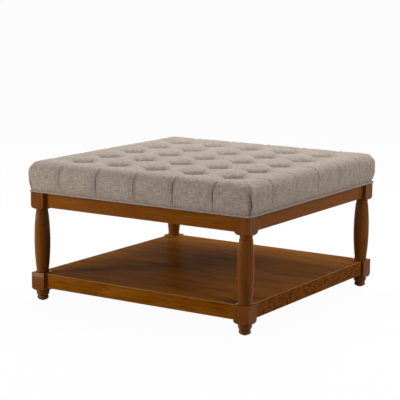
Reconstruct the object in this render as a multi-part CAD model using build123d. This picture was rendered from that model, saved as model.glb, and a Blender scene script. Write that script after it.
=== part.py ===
from build123d import *
from math import cos, radians, sin, sqrt
import os

# Square ottoman coffee table: a tufted cushion on four turned legs, with a board shelf between them.
# Origin on the floor under the middle of the table, +Z up, front towards -Y. Millimetres.

# The whole table
overall_width = 864.0        # over the cord round the cushion, both ways
frame_height = 373.0         # floor to the top of the legs and aprons
cushion_height = 107.0       # frame top to the highest pillow
welt_overhang = 5.6          # how far the cord stands out past the legs
seat_gap = 0.3               # between soft pieces and what they lie against
overrun = 3.0                # how far a cutting shape runs past what it cuts

# Legs: square blocks and turned lengths from one post
leg_square = 54.0
leg_arris = 1.5
shoulder_round = 12.0
lower_block_height = 61.0
upper_block_height = 56.5
glide_height = 2.5
glide_radius = 8.0
sole_radius = 12.0
lower_bead_height = 14.0
lower_bead_radius = 19.4
groove_radius = 16.8
upper_bead_height = 20.5
upper_bead_radius = 22.3
foot_neck_radius = 20.0
base_ring_radius = 22.3
base_ring_height = 3.5
lower_collar_radius = 21.0
lower_collar_height = 12.0
belly_radius = 27.0
belly_end_radius = 21.6
upper_collar_radius = 20.6
upper_collar_height = 15.5
neck_radius = 19.9
inner_chamfer = 12.0         # flat on the corner that faces the middle, where a bolt draws up
lower_bead_swell_share = 0.55
upper_bead_swell_share = 0.6
belly_swell_share = 0.48
bead_bands = 3               # narrow cones that a turned curve is made of
belly_bands = 5
shoulder_bands = 2

# Aprons
apron_height = 50.4
apron_thickness = 20.0
apron_setback = 13.0
apron_ease = 1.5

# Steel corner plates, sprung into saw kerfs in the aprons
plate_thickness = 2.0
plate_height = 40.0
plate_lead = 6.0             # how far the ends stand square out of the aprons
kerf_from_leg = 16.0
kerf_depth = 8.0
kerf_clearance = 0.2

# Hanger bolts with their nuts and washers
bolt_radius = 4.0
bolt_length = 65.0
bolt_in_leg = 24.0
bolt_hole_clearance = 0.5
nut_across_flats = 13.0
nut_height = 6.5
washer_radius = 8.0
washer_thickness = 1.6

# Cleats that carry the seat, and their screws
cleat_square = 18.0
cleat_from_plate = 10.0
screw_radius = 2.0
screw_in_deck = 10.0
screw_head_radius = 4.0
screw_head_height = 2.4
screw_clearance = 0.2
screw_place_share = 0.36     # of the cleat's length, either side of its middle

# Shelf, glued up from boards that run from side to side
shelf_underside = 46.7
shelf_thickness = 49.3
shelf_setback = 11.0
shelf_ease = 1.5
boards = 6
board_width = 141.0
board_offset = 15.0          # from the middle of the table to the nearest glue line
notch_clearance = 0.3
pocket_radius = 13.0
pocket_depth = 38.0
pocket_wall = 26.0           # wood between the leg and the pocket
half_moon_thickness = 4.5
half_moon_height = 18.0

# Seat: plywood deck, firm foam slab and soft tufted cushion with its cover
deck_thickness = 15.0
deck_inset = 12.0            # behind the outer edge of the cord
hem_thickness = 1.5
hem_turn_in = 34.2
slab_thickness = 45.0
dust_cover_thickness = 0.8
welt_radius = 2.75
welt_corner = 9.0
seam_corner = 7.0
deck_corner = 14.0

# Tufted top
tufts_each_way = 5
tuft_pitch = 149.0
tuft_depth = 34.0
tuft_rim = 28.0
tuft_rim_depth = 13.0
tuft_rim_hump = 1.5
pleat_depth = 8.0
crown_drop = 2.0
edge_round = 34.0
edge_skirt = 3.0             # how far the rounded top runs out past the sides before it is trimmed
edge_turns = (0, 45, 90)     # degrees round the rounded edge

# Sides of the cushion
side_pleat_depth = 3.5
seam_pleat_depth = 1.0
side_corner = 20.0
side_bulge = 5.0             # past the outer edge of the cord
side_draw_in = 3.5           # behind that edge, where the side meets the seam
side_height_shares = (0.0, 0.2, 0.5, 1.0)
side_bulge_shares = (0.0, 0.72, 1.0, 0.8)

# Covered buttons on knotted twine
button_radius = 9.0
button_rim = 2.0
button_dome = 4.0
button_dome_share = 0.55
button_seat_depth = 31.0
button_clearance = 0.3
twine_radius = 0.9
twine_clearance = 0.3
knot_radius = 3.2
knot_height = 1.2

# Sides that small round pieces are drawn with
glide_sides = 24
hardware_sides = 12
welt_sides = 8
screw_sides = 8
button_sides = 8
knot_sides = 6
twine_sides = 4

# Worked out from the sizes above
half_width = overall_width / 2
leg_axis = half_width - welt_overhang - leg_square / 2
leg_outer = leg_axis + leg_square / 2
leg_inner = leg_axis - leg_square / 2
corner_reach = leg_square / 2 * sqrt(2)
chamfer_reach = corner_reach - inner_chamfer / sqrt(2)
bead_split = glide_height + lower_bead_height
foot_height = bead_split + upper_bead_height
lower_block_top = foot_height + lower_block_height
upper_block_foot = frame_height - upper_block_height
apron_outer = leg_outer - apron_setback
apron_inner = apron_outer - apron_thickness
apron_foot = frame_height - apron_height
kerf_place = leg_inner - kerf_from_leg
plate_near = apron_inner - plate_lead
plate_face = (2 * leg_axis - kerf_place - plate_near) / sqrt(2) + plate_thickness / 2
cleat_length = 2 * (kerf_place - cleat_from_plate)
cleat_middle = apron_inner - cleat_square / 2
shelf_half = leg_outer - shelf_setback
shelf_top = shelf_underside + shelf_thickness
pocket_back = chamfer_reach + pocket_wall
upper_bolt_height = frame_height - apron_height / 2
lower_bolt_height = shelf_underside + shelf_thickness / 2
deck_half = half_width - deck_inset
deck_foot = frame_height + hem_thickness
slab_foot = deck_foot + deck_thickness
slab_top = slab_foot + slab_thickness
crest = frame_height + cushion_height
seam_half = half_width - 2 * welt_radius - seat_gap
seam_top = frame_height + 2 * (welt_radius + seat_gap)
seat_floor = crest - button_seat_depth
edge_limit = half_width + side_bulge + edge_skirt
edge_start = edge_limit - edge_round
tuft_places = [(i - (tufts_each_way - 1) / 2) * tuft_pitch for i in range(tufts_each_way)]
tuft_grid = [(x, y) for x in tuft_places for y in tuft_places]
screw_places = [-screw_place_share * cleat_length, screw_place_share * cleat_length]

corners = ("front_right", "back_right", "back_left", "front_left")
sides = ("front", "right", "back", "left")


def quarter_turns(shape):
    """The shape and its three copies, a quarter turn apart about the table's middle."""
    return [Rot(0, 0, turn * 90) * shape for turn in range(4)]


def at_corner(height=0.0):
    """The front right leg's axis, with +X turned to face the middle of the table."""
    return Pos(leg_axis, -leg_axis, height) * Rot(0, 0, 135)


def box_between(low, high):
    """A box from its lowest to its highest corner."""
    size = [b - a for a, b in zip(low, high)]
    return Pos(*low) * Box(*size, align=(Align.MIN, Align.MIN, Align.MIN))


def slab_between(half, low, high, corner):
    """A square slab about the table's middle, with round corners."""
    return Pos(0, 0, low) * extrude(RectangleRounded(2 * half, 2 * half, corner), high - low)


def prism(radius, low, high, corners_round):
    """An upright prism, for a small round piece or hole."""
    return Pos(0, 0, low) * extrude(RegularPolygon(radius, corners_round), high - low)


def rod(radius, start, end):
    """A round rod or bore along X."""
    return Rot(0, 90, 0) * prism(radius, start, end, hardware_sides)


def banded(arc, bands):
    """Points along an arc, evenly apart, without its last."""
    points = [arc @ (i / bands) for i in range(bands)]
    return [(point.X, point.Y) for point in points]


# Legs

def leg_turning():
    """The lathe's work on a leg: every turned length, and rounded shoulders where the square blocks start."""
    lower_swell = glide_height + lower_bead_swell_share * lower_bead_height
    upper_swell = bead_split + upper_bead_swell_share * upper_bead_height
    shoulder_start = corner_reach - shoulder_round
    ring_end = lower_block_top + base_ring_height
    belly_foot = ring_end + lower_collar_height
    belly_top = upper_block_foot - upper_collar_height
    belly_middle = belly_foot + belly_swell_share * (belly_top - belly_foot)
    sole = (sole_radius, glide_height)
    groove = (groove_radius, bead_split)
    foot_neck = (foot_neck_radius, foot_height)
    lower_bead = ThreePointArc(sole, (lower_bead_radius, lower_swell), groove)
    upper_bead = ThreePointArc(groove, (upper_bead_radius, upper_swell), foot_neck)
    belly = ThreePointArc(
        (belly_end_radius, belly_foot), (belly_radius, belly_middle), (belly_end_radius, belly_top))
    profile = [(0, glide_height)]
    profile += banded(lower_bead, bead_bands)
    profile += banded(upper_bead, bead_bands)
    profile += [foot_neck]
    profile += shoulder(shoulder_start, foot_height)
    profile += [(corner_reach, lower_block_top), (base_ring_radius, lower_block_top)]
    profile += [(base_ring_radius, ring_end), (lower_collar_radius, ring_end)]
    profile += [(lower_collar_radius, belly_foot)]
    profile += banded(belly, belly_bands)
    profile += [(belly_end_radius, belly_top), (upper_collar_radius, belly_top)]
    profile += [(neck_radius, upper_block_foot)]
    profile += shoulder(shoulder_start, upper_block_foot)
    profile += [(corner_reach, frame_height), (0, frame_height)]
    return revolve(make_face(Plane.XZ * Polyline(*profile, close=True)), Axis.Z)


def shoulder(start, height):
    """The rounded shoulder under a square block, out to the block's corners."""
    end = (corner_reach, height + shoulder_round)
    return banded(RadiusArc((start, height), end, -shoulder_round), shoulder_bands) + [end]


def make_leg():
    """One post, turned where it is round, with a flat and two bolt holes on its inner corner."""
    square = Rectangle(leg_square, leg_square)
    post = extrude(chamfer(square.vertices(), leg_arris), frame_height)
    leg = Pos(leg_axis, -leg_axis, 0) * (leg_turning() & post)
    reach = chamfer_reach + leg_square
    leg -= at_corner() * box_between((chamfer_reach, -leg_square, 0), (reach, leg_square, frame_height))
    for height in (lower_bolt_height, upper_bolt_height):
        leg -= at_corner(height) * rod(bolt_radius, chamfer_reach - bolt_in_leg, reach)
    return leg


def make_glide():
    """A stick-on plastic glide under the foot."""
    return Pos(leg_axis, -leg_axis, 0) * prism(glide_radius, 0, glide_height, glide_sides)


# Upper frame

def make_apron():
    """The front apron, butted between two legs, with a saw kerf near each end of its inner face."""
    apron = box_between((-leg_inner, -apron_outer, apron_foot), (leg_inner, -apron_inner, frame_height))
    apron = chamfer(apron.edges().filter_by(Axis.X).group_by(Axis.Z)[0], apron_ease)
    kerf = plate_thickness / 2 + kerf_clearance
    for place in (-kerf_place, kerf_place):
        low = (place - kerf, -apron_inner - kerf_depth, apron_foot - overrun)
        high = (place + kerf, -apron_inner + overrun, frame_height + overrun)
        apron -= box_between(low, high)
    return apron


def make_corner_plate():
    """A bent steel plate across the front right corner, bored for the hanger bolt."""
    deep = apron_inner + kerf_depth - kerf_clearance - plate_thickness / 2
    bends = [(kerf_place, -deep), (kerf_place, -plate_near), (plate_near, -kerf_place), (deep, -kerf_place)]
    outline = offset(Polyline(*bends), plate_thickness / 2, side=Side.BOTH, kind=Kind.INTERSECTION)
    plate = Pos(0, 0, upper_bolt_height - plate_height / 2) * extrude(make_face(outline), plate_height)
    bore = rod(bolt_radius + bolt_hole_clearance, chamfer_reach, chamfer_reach + leg_square)
    return plate - at_corner(upper_bolt_height) * bore


def make_cleat():
    """A batten glued behind the front apron, flush with its top, with two screw holes."""
    foot = frame_height - cleat_square
    low = (-cleat_length / 2, -apron_inner, foot)
    cleat = box_between(low, (cleat_length / 2, -apron_inner + cleat_square, frame_height))
    hole = prism(screw_radius + screw_clearance, foot - overrun, frame_height + overrun, screw_sides)
    return cleat - [Pos(x, -cleat_middle, 0) * hole for x in screw_places]


def make_seat_screw():
    """A pan-head screw that comes up through a cleat into the deck."""
    foot = frame_height - cleat_square
    head = prism(screw_head_radius, foot - screw_head_height, foot, screw_sides)
    return head + prism(screw_radius, foot, deck_foot + screw_in_deck, screw_sides)


def make_dust_cover():
    """Black cloth stapled under the deck, over the knots and between the cleats."""
    half = apron_inner - cleat_square - seat_gap
    high = deck_foot - knot_height
    return box_between((-half, -half, high - dust_cover_thickness), (half, half, high))


# Hanger bolts and what draws them up, along X from the leg's axis

def make_bolt():
    start = chamfer_reach - bolt_in_leg
    return rod(bolt_radius, start, start + bolt_length)


def make_nut(start):
    """A hexagon nut whose near face lies at start."""
    end = start + nut_height
    blank = extrude(RegularPolygon(nut_across_flats / 2, 6, major_radius=False), nut_height)
    nut = Pos(start, 0, 0) * Rot(0, 90, 0) * blank
    return nut - rod(bolt_radius, start - overrun, end + overrun)


def make_washer(start):
    end = start + washer_thickness
    bore = rod(bolt_radius + bolt_hole_clearance, start - overrun, end + overrun)
    return rod(washer_radius, start, end) - bore


def make_half_moon():
    """A steel washer with a round back that beds in the pocket's wall."""
    flat = pocket_back + half_moon_thickness
    wide = pocket_radius + overrun
    disc = extrude(Circle(pocket_radius), half_moon_height)
    moon = Pos(pocket_back + pocket_radius, 0, -half_moon_height / 2) * disc
    moon &= box_between((pocket_back - overrun, -wide, -half_moon_height), (flat, wide, half_moon_height))
    return moon - rod(bolt_radius + bolt_hole_clearance, pocket_back - overrun, flat + overrun)


# Shelf

def board_edges():
    """The front, the glue lines and the back of the shelf, along Y."""
    lines = [board_offset + (i - (boards - 2) / 2) * board_width for i in range(boards - 1)]
    return [-shelf_half] + lines + [shelf_half]


def make_boards():
    """The shelf's boards from front to back, eased at the shelf's edges, notched and bored for the legs."""
    shelf = box_between((-shelf_half, -shelf_half, shelf_underside), (shelf_half, shelf_half, shelf_top))
    levels = shelf.faces().sort_by(Axis.Z)
    shelf = chamfer(levels[-1].edges() + levels[0].edges(), shelf_ease)
    notch = leg_inner - notch_clearance
    past = shelf_half + overrun
    low, high = shelf_underside - overrun, shelf_top + overrun
    notch_block = box_between((notch, -past, low), (past, -notch, high))
    in_leg = box_between((-leg_square, -leg_square, low), (chamfer_reach, leg_square, high))
    notch_block &= at_corner() * in_leg
    middle = pocket_back + pocket_radius
    pocket = Pos(middle, 0, low) * extrude(Circle(pocket_radius), overrun + pocket_depth)
    bore = Pos(0, 0, lower_bolt_height) * rod(bolt_radius + bolt_hole_clearance, 0, middle)
    for cutter in (notch_block, at_corner() * pocket, at_corner() * bore):
        shelf -= quarter_turns(cutter)
    edges = board_edges()
    bands = [box_between((-past, front, low), (past, back, high)) for front, back in zip(edges, edges[1:])]
    return [shelf & band for band in bands]


# Seat

def pierced(shape, low, high):
    """The shape with a slit for every length of twine."""
    slit = prism(twine_radius + twine_clearance, low - overrun, high + overrun, twine_sides)
    return shape - [Pos(x, y, 0) * slit for x, y in tuft_grid]


def make_deck():
    """The plywood deck, bored for the twine and for the seat screws."""
    deck = pierced(slab_between(deck_half, deck_foot, slab_foot, deck_corner), deck_foot, slab_foot)
    hole = prism(screw_radius, deck_foot - overrun, deck_foot + screw_in_deck, screw_sides)
    for x in screw_places:
        deck -= quarter_turns(Pos(x, -cleat_middle, 0) * hole)
    return deck


def make_slab():
    return pierced(slab_between(deck_half, slab_foot, slab_top, deck_corner), slab_foot, slab_top)


def crown(place):
    """How far the pillows drop from the middle of the cushion to a place along one axis."""
    return crown_drop * (place / half_width) ** 2


def edge_fall(place):
    """How far the rounded edge has dropped at a place along one axis."""
    past = max(0.0, abs(place) - edge_start)
    return edge_round - sqrt(max(0.0, edge_round ** 2 - past ** 2))


def seat_section(x, valley, hump):
    """The cushion's outline across Y at x: an arc for each pillow, dipping to the tuft lines between them."""
    top = crest - crown(x) - edge_fall(x)
    foot = frame_height - overrun
    bends = [-edge_start] + tuft_places + [edge_start]
    heights = [top - crown(y) - (valley if y in tuft_places else 0) for y in bends]
    low = heights[0] - edge_round
    lift = edge_round * sin(radians(45))
    edges = []
    for y0, z0, y1, z1 in zip(bends, heights, bends[1:], heights[1:]):
        middle = (y0 + y1) / 2
        edges.append(ThreePointArc((x, y0, z0), (x, middle, top - crown(middle) - hump), (x, y1, z1)))
    right = (x, edge_start, heights[0]), (x, edge_start + lift, low + lift), (x, edge_limit, low)
    left = (x, -edge_limit, low), (x, -edge_start - lift, low + lift), (x, -edge_start, heights[0])
    edges += [ThreePointArc(*right), ThreePointArc(*left)]
    edges += Polyline((x, edge_limit, low), (x, edge_limit, foot), (x, -edge_limit, foot), left[0]).edges()
    return make_face(Curve(edges))


def seat_stations():
    """Where the outline is drawn from the middle out, as (x, valley, hump)."""
    stations = []
    for line in tuft_places:
        stations += [
            (line - tuft_rim, tuft_rim_depth, tuft_rim_hump),
            (line, tuft_depth, pleat_depth),
            (line + tuft_rim, tuft_rim_depth, tuft_rim_hump),
        ]
    lines = [-edge_start] + tuft_places + [edge_start]
    stations += [((a + b) / 2, pleat_depth, 0) for a, b in zip(lines, lines[1:])]
    for turn in edge_turns:
        reach = edge_start + edge_round * sin(radians(turn))
        stations += [(-reach, pleat_depth, 0), (reach, pleat_depth, 0)]
    return sorted(stations)


def side_section(height, half, pleat):
    """The cushion's outline from above: an arc for each panel, dipping to the pleats, and round corners."""
    start = half - side_corner
    bends = [-start] + tuft_places + [start]
    dip = half - pleat
    side = []
    for y0, y1 in zip(bends, bends[1:]):
        side.append(ThreePointArc((dip, y0), (half, (y0 + y1) / 2), (dip, y1)))
    reach = dip - (half - start) * (1 - cos(radians(45)))
    side.append(ThreePointArc((dip, start), (reach, reach), (start, dip)))
    return Pos(0, 0, height) * make_face(Curve([edge for part in side for edge in quarter_turns(part)]))


def side_form():
    """The cushion's sides: scalloped from pleat to pleat, drawn in at the seam and bulged above it."""
    low, high = seam_top, crest + overrun
    sections = []
    for rise, share in zip(side_height_shares, side_bulge_shares):
        half = half_width - side_draw_in + share * (side_bulge + side_draw_in)
        pleat = seam_pleat_depth + share * (side_pleat_depth - seam_pleat_depth)
        sections.append(side_section(low + rise * (high - low), half, pleat))
    return loft(sections, ruled=True)


def make_cushion():
    """The tufted cushion with its cover: pillows on top, scalloped sides, and a pocket for slab and deck."""
    top = loft([seat_section(*station) for station in seat_stations()], ruled=True)
    cushion = top & side_form()
    cushion += slab_between(seam_half, frame_height, seam_top, seam_corner)
    cushion -= slab_between(deck_half + seat_gap, deck_foot, slab_top + seat_gap, deck_corner)
    hem_edge = half_width - 2 * welt_radius - hem_turn_in
    cushion -= box_between((-hem_edge, -hem_edge, frame_height - overrun), (hem_edge, hem_edge, deck_foot))
    seat = prism(button_radius + button_clearance, seat_floor, crest, button_sides)
    cushion -= [Pos(x, y, 0) * seat for x, y in tuft_grid]
    return pierced(cushion, slab_top, seat_floor)


def make_welt():
    """The piping cord that runs round the cushion's foot."""
    half = half_width - welt_radius
    path = RectangleRounded(2 * half, 2 * half, welt_corner).wire()
    start = Plane(origin=path @ 0, z_dir=path % 0)
    cord = sweep(start * RegularPolygon(welt_radius, welt_sides), path)
    return Pos(0, 0, frame_height + seat_gap + welt_radius) * cord


def make_button():
    """A covered button, flat below and domed above."""
    rim = Pos(0, 0, button_rim) * RegularPolygon(button_radius, button_sides)
    dome_top = RegularPolygon(button_dome_share * button_radius, button_sides)
    top = Pos(0, 0, button_rim + button_dome) * dome_top
    return prism(button_radius, 0, button_rim, button_sides) + loft([rim, top], ruled=True)


def make_twine():
    """A length of tufting twine, knotted under the deck, up to the back of a button."""
    low = deck_foot - knot_height
    return prism(twine_radius, low, seat_floor, twine_sides) + prism(knot_radius, low, deck_foot, knot_sides)


def group(solids):
    return Compound(children=list(solids))


def named_parts():
    """Every node's name with its shape."""
    parts = {}
    corner_pieces = [quarter_turns(make()) for make in (make_leg, make_glide, make_corner_plate)]
    for name, leg, glide, plate in zip(corners, *corner_pieces):
        parts["leg_" + name] = leg
        parts["glide_" + name] = glide
        parts["corner_plate_" + name] = plate
    for name, apron, cleat in zip(sides, quarter_turns(make_apron()), quarter_turns(make_cleat())):
        parts["apron_" + name] = apron
        parts["seat_cleat_" + name] = cleat
    for number, board in enumerate(make_boards(), 1):
        parts[f"shelf_board_{number}"] = board
    upper, lower = at_corner(upper_bolt_height), at_corner(lower_bolt_height)
    parts["upper_hanger_bolts"] = group(quarter_turns(upper * make_bolt()))
    parts["upper_washers"] = group(quarter_turns(upper * make_washer(plate_face)))
    parts["upper_nuts"] = group(quarter_turns(upper * make_nut(plate_face + washer_thickness)))
    parts["shelf_hanger_bolts"] = group(quarter_turns(lower * make_bolt()))
    parts["shelf_half_moons"] = group(quarter_turns(lower * make_half_moon()))
    parts["shelf_nuts"] = group(quarter_turns(lower * make_nut(pocket_back + half_moon_thickness)))
    screws = [Pos(x, -cleat_middle, 0) * make_seat_screw() for x in screw_places]
    parts["seat_screws"] = group(turned for screw in screws for turned in quarter_turns(screw))
    parts["seat_deck"] = make_deck()
    parts["foam_slab"] = make_slab()
    parts["tufted_cushion"] = make_cushion()
    parts["welt_cord"] = make_welt()
    parts["dust_cover"] = make_dust_cover()
    parts["tuft_buttons"] = group(Pos(x, y, seat_floor) * make_button() for x, y in tuft_grid)
    parts["tuft_twines"] = group(Pos(x, y, 0) * make_twine() for x, y in tuft_grid)
    return parts


os.makedirs("parts", exist_ok=True)
for node, shape in named_parts().items():
    export_step(shape, f"parts/{node}.step")
    print(node, len(shape.solids()))
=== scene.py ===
import bmesh
import bpy
import math
import numpy as np
from mathutils import Matrix, Vector


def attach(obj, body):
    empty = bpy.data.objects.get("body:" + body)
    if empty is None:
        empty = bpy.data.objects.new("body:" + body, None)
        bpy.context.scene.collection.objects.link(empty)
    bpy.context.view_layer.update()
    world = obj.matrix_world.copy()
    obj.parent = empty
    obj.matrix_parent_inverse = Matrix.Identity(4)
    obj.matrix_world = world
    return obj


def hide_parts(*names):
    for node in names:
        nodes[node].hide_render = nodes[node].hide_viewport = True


# Square ottoman coffee table: tufted linen-look cushion, turned and stained legs, board shelf.
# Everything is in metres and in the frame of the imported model: floor at z = 0, front towards -Y.

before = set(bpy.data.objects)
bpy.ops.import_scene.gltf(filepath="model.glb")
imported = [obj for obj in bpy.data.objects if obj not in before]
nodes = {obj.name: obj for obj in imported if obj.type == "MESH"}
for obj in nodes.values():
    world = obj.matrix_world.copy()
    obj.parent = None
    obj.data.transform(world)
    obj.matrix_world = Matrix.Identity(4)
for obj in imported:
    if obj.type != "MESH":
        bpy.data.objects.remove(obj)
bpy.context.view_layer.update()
corners = {"front_right": (1, -1), "back_right": (1, 1), "back_left": (-1, 1), "front_left": (-1, -1)}
mm = 0.001


def linear(hexCode):
    channels = [int(hexCode[i:i + 2], 16) / 255 for i in (0, 2, 4)]
    return [c / 12.92 if c <= 0.04045 else ((c + 0.055) / 1.055) ** 2.4 for c in channels] + [1.0]


def addNode(tree, kind, inputs=None, stops=None, **settings):
    # inputs are values or sockets to link; stops are the (place, colour) pairs of a colour ramp
    new = tree.nodes.new(kind)
    for name, value in settings.items():
        setattr(new, name, value)
    for name, value in (inputs or {}).items():
        if isinstance(value, bpy.types.NodeSocket):
            tree.links.new(value, new.inputs[name])
        else:
            new.inputs[name].default_value = value
    for number, (place, colour) in enumerate(stops or []):
        elements = new.color_ramp.elements
        element = elements[number] if number < 2 else elements.new(place)
        element.position = place
        element.color = linear(colour)
    return new


def newMaterial(name, colour, roughness, **shader):
    material = bpy.data.materials.new(name)
    material.use_nodes = True
    material.diffuse_color = linear(colour)
    tree = material.node_tree
    principled = tree.nodes["Principled BSDF"]
    principled.inputs["Base Color"].default_value = linear(colour)
    principled.inputs["Roughness"].default_value = roughness
    for socket, value in shader.items():
        principled.inputs[socket.replace("_", " ")].default_value = value
    return material, tree, principled


def dress(name, material):
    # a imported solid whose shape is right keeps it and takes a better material
    mesh = nodes[name].data
    mesh.materials.clear()
    mesh.materials.append(material)
    for polygon in mesh.polygons:
        polygon.material_index = 0


def meshObject(name, points, faces, material, smoothAngle=None):
    mesh = bpy.data.meshes.new(name)
    mesh.from_pydata([tuple(p) for p in points], [], faces)
    mesh.materials.append(material)
    mesh.validate()
    mesh.shade_smooth()
    if smoothAngle is not None:
        mesh.set_sharp_from_angle(angle=math.radians(smoothAngle))
    piece = bpy.data.objects.new(name, mesh)
    bpy.context.scene.collection.objects.link(piece)
    return piece


def keepModifiers(piece):
    # the modifiers' result becomes the mesh
    before = piece.data
    bpy.context.view_layer.update()
    piece.data = bpy.data.meshes.new_from_object(piece.evaluated_get(bpy.context.evaluated_depsgraph_get()))
    piece.data.name = piece.name
    piece.modifiers.clear()
    bpy.data.meshes.remove(before)


def vertexPlaces(mesh):
    places = np.empty(len(mesh.vertices) * 3)
    mesh.vertices.foreach_get("co", places)
    return places.reshape(-1, 3)


def arc(start, through, end, steps):
    # points on the circle through three (radius, height) places
    (ax, ay), (bx, by), (cx, cy) = start, through, end
    d = 2 * (ax * (by - cy) + bx * (cy - ay) + cx * (ay - by))
    ux = ((ax**2 + ay**2) * (by - cy) + (bx**2 + by**2) * (cy - ay) + (cx**2 + cy**2) * (ay - by)) / d
    uy = ((ax**2 + ay**2) * (cx - bx) + (bx**2 + by**2) * (ax - cx) + (cx**2 + cy**2) * (bx - ax)) / d
    r = math.hypot(ax - ux, ay - uy)
    first = math.atan2(ay - uy, ax - ux)
    turn = math.remainder(math.atan2(cy - uy, cx - ux) - first, 2 * math.pi)
    middle = math.remainder(math.atan2(by - uy, bx - ux) - first, 2 * math.pi)
    if (middle > 0) != (turn > 0):
        turn -= math.copysign(2 * math.pi, turn)
    return [(ux + r * math.cos(first + turn * i / steps), uy + r * math.sin(first + turn * i / steps))
            for i in range(steps + 1)]


# Birch, stained warm brown and sprayed with satin lacquer: the stain sits dark in the grain, takes unevenly
# in soft blotches, and the thin lacquer gives small clean highlights.
wood = {
    "streakWidth": 3.4,      # mm; real fibres are finer, drawn this coarse to show at 3 mm to the pixel
    "streakLength": 130,     # mm
    "poreWidth": 1.1,        # mm
    "poreLength": 33,        # mm
    "ringSpacing": 11,       # mm between growth rings
    "heart": (0.13, 0.21),   # metres from the pattern's origin to the middle of the rings
    "ringLean": 0.06,        # how far the rings drift as they run along the grain
    "ringWobble": 0.05,      # metres, how far the blotches bend them
    "blotchWidth": 45,       # mm, where the stain has taken unevenly
    "blotchLength": 225,     # mm
    "endMottle": 10,         # mm, dark spots on sawn ends
    "midTone": 0.42,         # depth of stain on an even piece
    "blotchShare": 0.8,      # how much of the figure each pattern carries
    "streakShare": 0.65,
    "ringShare": 0.05,
    "poreShare": 0.25,
    "dark": "4c2305",
    "middle": "7b4509",
    "light": "9b6220",
    "endDark": "532c0e",
    "endLight": "7f4c1e",
    "paintedEdgeLight": "a8815a",      # paler colour for the 45-degree chamfers, a painted highlight
    # finishes: the lacquer shines most on the legs and is nearly matt on the shelf
    "legs": {"tone": -0.06, "roughness": 0.22, "specular": 0.03, "coat": 0.12},
    "aprons": {"tone": 0.0, "roughness": 0.28, "specular": 0.03},
    "boards": {"roughness": 0.34, "specular": 0.0012, "contrast": 1.2, "paintedEdgeLight": True},
    "boardTones": (0.08, 0.17, 0.24, 0.18, 0.24, 0.19),
}


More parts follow.
